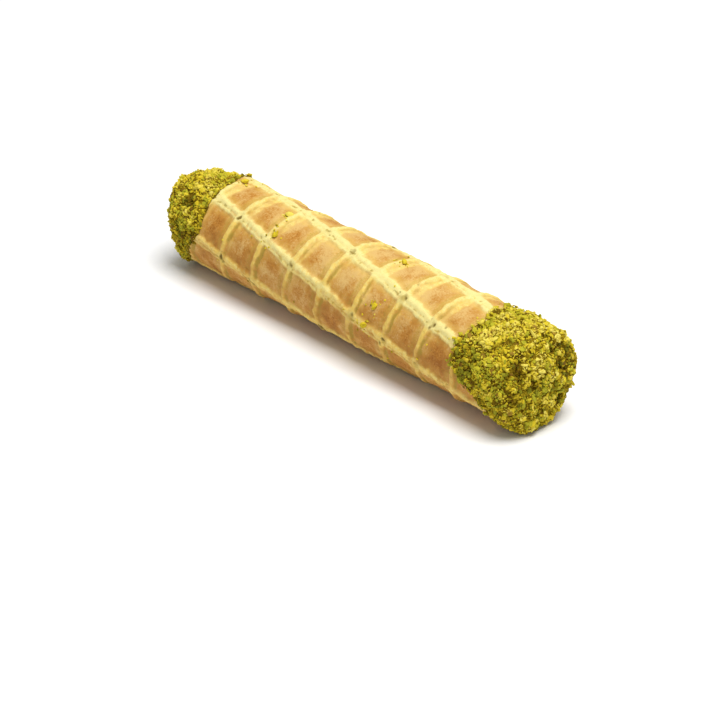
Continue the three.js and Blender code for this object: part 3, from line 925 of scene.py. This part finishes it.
class WAFER_OT_bits(bpy.types.Operator):
    """Strew the crushed nut bits over both coats, one mesh for each kind"""

    bl_idname = "wafer_roll.bits"
    bl_label = "Strew the nut bits"

    PROUDEST = 0.55  # how far a bit may stand above its middle
    CHUNKY = ((0.9, 1.7), (0.65, 1.1), (0.45, 0.95))  # least and most stretch of a bit each way
    FLAKY = ((1.0, 1.5), (0.8, 1.2), (0.22, 0.4))
    WIDTH_SPREAD = 0.34
    WIDTH_LIMITS = (0.5, 1.9)
    SHADED = 2.5  # how far from a coat's inner edge its painted shade begins
    TONE = 0.56  # mean tone, and its spread from bit to bit
    TONE_SPREAD = 0.09

    def execute(self, context):
        nuts = context.scene.wafer_nuts
        rng = np.random.default_rng(nuts.seed)
        kernel = kernel_stops(nuts)
        green = ((0.0, nuts.green_dark), (0.55, nuts.green), (1.0, nuts.kernel))
        skin = ((0.2, nuts.skin), (0.9, nuts.skin_pale))
        kinds = (  # name, tones, sunk share of the width, height of the pile, shares where yellow and green
            ("kernel_bits", kernel, 0.36, 0.30, (1.0, 0.25)),
            ("green_bits", green, 0.32, 0.28, (0.4, 1.0)),
            ("skin_bits", skin, 0.15, 0.20, (1.0, 1.0)),
            ("nut_meal", kernel, 0.15, 0.20, (1.0, 0.8)),
        )
        for kind in kinds:
            self.strew(context.scene, rng, *kind)
        return {"FINISHED"}

    def strew(self, scene, rng, name, stops, sink, pile, green_share):
        """Bits of one kind on both coats"""
        flaky, fine = name == "skin_bits", name == "nut_meal"
        count, size = (getattr(scene.wafer_nuts, key) for key in (name, f"{name}_size"))
        rows = []
        for coat in COATS.values():
            angle, way = strewn(rng, coat, int(count * coat.share), green_share)
            piled = rng.uniform(0, pile, len(angle))
            height = seat_height(scene.wafer_sheet, coat, angle, way) + piled
            raised = coat_relief(coat, angle, way) + piled
            edge = coat_way(coat, angle)
            # Painted shade: bits near a coat's inner edge are darker
            shade = coat.edge_shade * smoothstep(way, edge - self.SHADED, edge - COAT_LIP)
            rows.append((*coat_points(coat, angle, way, height), raised, shade))
        middles, outs, raised, shade = map(np.concatenate, zip(*rows))
        total = len(middles)
        widths = size / MM * np.clip(rng.lognormal(0, self.WIDTH_SPREAD, total), *self.WIDTH_LIMITS)
        middles = middles + outs * (widths * (0.35 - sink))[:, None]
        turned = laid_flat(rng, outs) if flaky else turns(rng, total)
        facing_end, facing_up = np.abs(outs[:, 0]), np.maximum(outs[:, 2], 0)
        patch = layers(middles, (0.18, 4.5, PATCH_SEEDS[0]), (0.1, 1.8, PATCH_SEEDS[1]))
        # Painted shade: bits low in the relief are darker and raised ones lighter, most on the ends
        patch += (0.28 + 0.6 * facing_end) * (np.clip(raised, -0.8, 1) - 0.25)
        # Painted light and shade: upward-facing bits are lighter, those near the inner edge darker
        patch += 0.4 * facing_up - 0.2 - shade
        for place, reach, change in TONE_PATCHES:
            patch += change * closeness(middles, place, reach, 0.3)
        # Painted light: tone varies less on upward-facing bits
        spread = (1 - 0.4 * facing_up) * rng.normal(0, self.TONE_SPREAD, total)
        tones = np.clip(self.TONE + spread + patch, 0, 1)
        finish = nut_finish(f"{name}_finish", stops, NUT_ROUGHNESS)
        stretch = self.FLAKY if flaky else self.CHUNKY
        piece = chips(name, rng, middles, outs, self.PROUDEST, widths, stretch, turned, tones, finish, fine)
        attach(piece, "root")


class WAFER_OT_crumbs(bpy.types.Operator):
    """Stick the stray nut pieces and small crumbs to the sheet"""

    bl_idname = "wafer_roll.crumbs"
    bl_label = "Stick crumbs to the sheet"

    COUNT = 150  # pieces and crumbs in all
    AROUND = 11  # crumbs round each stray piece, and how far they spread from it
    SPREAD = 1.4
    PIECE_WIDTH = 2.5  # of a stray piece, for each millimetre of its solid's radius
    PROUDEST = 1.2  # how far one may stand above its middle
    STRETCH = ((1.0, 1.5), (0.75, 1.05), (0.5, 0.8))
    STREWN = ((-50, 46), (-2.3, 2.3))  # the strewn crumbs' places along the roll, and round it in radians

    def execute(self, context):
        nuts = context.scene.wafer_nuts
        sheet = context.scene.wafer_sheet
        rng = np.random.default_rng(nuts.seed + 1)
        places = []
        for x, degrees, radius, tone in STRAY_PIECES:
            places.append((x, math.radians(degrees), self.PIECE_WIDTH * radius, tone))
            for _ in range(self.AROUND):
                along, across = rng.normal(0, self.SPREAD, 2)
                angle = math.radians(degrees) + across / ROLL_RADIUS
                places.append((x + along, angle, rng.uniform(0.35, 0.8), rng.normal(tone, 0.15)))
        while len(places) < self.COUNT:
            x, angle = (rng.uniform(*limits) for limits in self.STREWN)
            if all(HALF_LENGTH - c.side * x > coat_reach(c, angle) + 1 for c in COATS.values()):
                places.append((x, angle, rng.uniform(0.25, 0.65), rng.normal(0.5, 0.25)))
        x, angle, widths, tones = np.array(places).T
        middles = roll_points(x, angle, sheet_top(sheet, x, angle) + 0.15 * widths)
        outs = np.stack([0 * x, np.sin(angle), np.cos(angle)], -1)
        turned = laid_flat(rng, outs)
        tones = np.clip(tones, 0, 1)
        finish = nut_finish("stray_crumbs_finish", kernel_stops(nuts), NUT_ROUGHNESS)
        piece = chips(
            "stray_crumbs", rng, middles, outs, self.PROUDEST, widths, self.STRETCH, turned, tones, finish
        )
        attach(piece, "root")
        return {"FINISHED"}


class WAFER_OT_stage(bpy.types.Operator):
    """Set the floor, the soft light and the camera"""

    bl_idname = "wafer_roll.stage"
    bl_label = "Set the stage"

    FLOOR_HALF = 3.0
    CAMERA_PLACE = (0.51946, -0.47943, 0.38641)
    CAMERA_AXES = (
        (0.67761214, 0.73541946, 0.0),
        (-0.35730362, 0.32921792, 0.87404215),
        (0.64278761, -0.59226157, 0.4858501),
    )
    CAMERA_LENS = 160.14
    KEY_PLACE = (0.2, 0.0, 0.89)
    KEY_SIZE = 0.6

    def execute(self, context):
        stage = context.scene.wafer_stage
        half = self.FLOOR_HALF / MM
        corners = [(-half, -half, 0), (half, -half, 0), (half, half, 0), (-half, half, 0)]
        material, tree, shader = new_finish("plain_floor")
        fill(tree, shader, {"Base Color": opaque(stage.floor), "Roughness": 0.7})
        mesh_piece("floor", corners, [(0, 1, 2, 3)], material)

        world = bpy.data.worlds.new("soft_sky")
        world.use_nodes = True
        sky = world.node_tree.nodes["Background"]
        fill(world.node_tree, sky, {"Color": (1, 1, 1, 1), "Strength": stage.sky})
        context.scene.world = world

        light = bpy.data.lights.new("key", "AREA")
        light.energy = stage.key
        light.size = self.KEY_SIZE
        key = placed("key", light)
        key.location = self.KEY_PLACE
        key.rotation_euler = (-Vector(self.KEY_PLACE)).to_track_quat("-Z", "Y").to_euler()

        lens = bpy.data.cameras.new("photo_view")
        lens.lens = self.CAMERA_LENS
        lens.sensor_width = 36
        camera = placed("photo_view", lens)
        axes = Matrix(self.CAMERA_AXES).transposed().to_4x4()
        camera.matrix_world = Matrix.Translation(self.CAMERA_PLACE) @ axes
        context.scene.camera = camera
        context.scene.view_settings.view_transform = "Standard"
        return {"FINISHED"}


class WAFER_PT_roll(bpy.types.Panel):
    """Lists the roll's steps and settings"""

    bl_idname = "WAFER_PT_roll"
    bl_label = "Wafer roll"
    bl_space_type = "VIEW_3D"
    bl_region_type = "UI"
    bl_category = "Wafer roll"

    def draw(self, context):
        for step in STEPS:
            self.layout.operator(step.bl_idname)
        for name in SETTINGS:
            group = getattr(context.scene, name)
            box = self.layout.box()
            for key in group.bl_rna.properties.keys():
                if key not in ("rna_type", "name"):
                    box.prop(group, key)


STEPS = (WAFER_OT_sheet, WAFER_OT_coats, WAFER_OT_bits, WAFER_OT_crumbs, WAFER_OT_stage)
SETTINGS = {"wafer_sheet": WAFER_PG_sheet, "wafer_nuts": WAFER_PG_nuts, "wafer_stage": WAFER_PG_stage}


def register():
    for one in (*SETTINGS.values(), *STEPS, WAFER_PT_roll):
        bpy.utils.register_class(one)
    for name, group in SETTINGS.items():
        setattr(bpy.types.Scene, name, PointerProperty(type=group))


def unregister():
    for name in SETTINGS:
        delattr(bpy.types.Scene, name)
    for one in reversed((*SETTINGS.values(), *STEPS, WAFER_PT_roll)):
        bpy.utils.unregister_class(one)


def main():
    register()
    bpy.ops.wafer_roll.sheet()
    bpy.ops.wafer_roll.coats()
    bpy.ops.wafer_roll.bits()
    bpy.ops.wafer_roll.crumbs()
    bpy.ops.wafer_roll.stage()


if __name__ == "__main__":
    main()
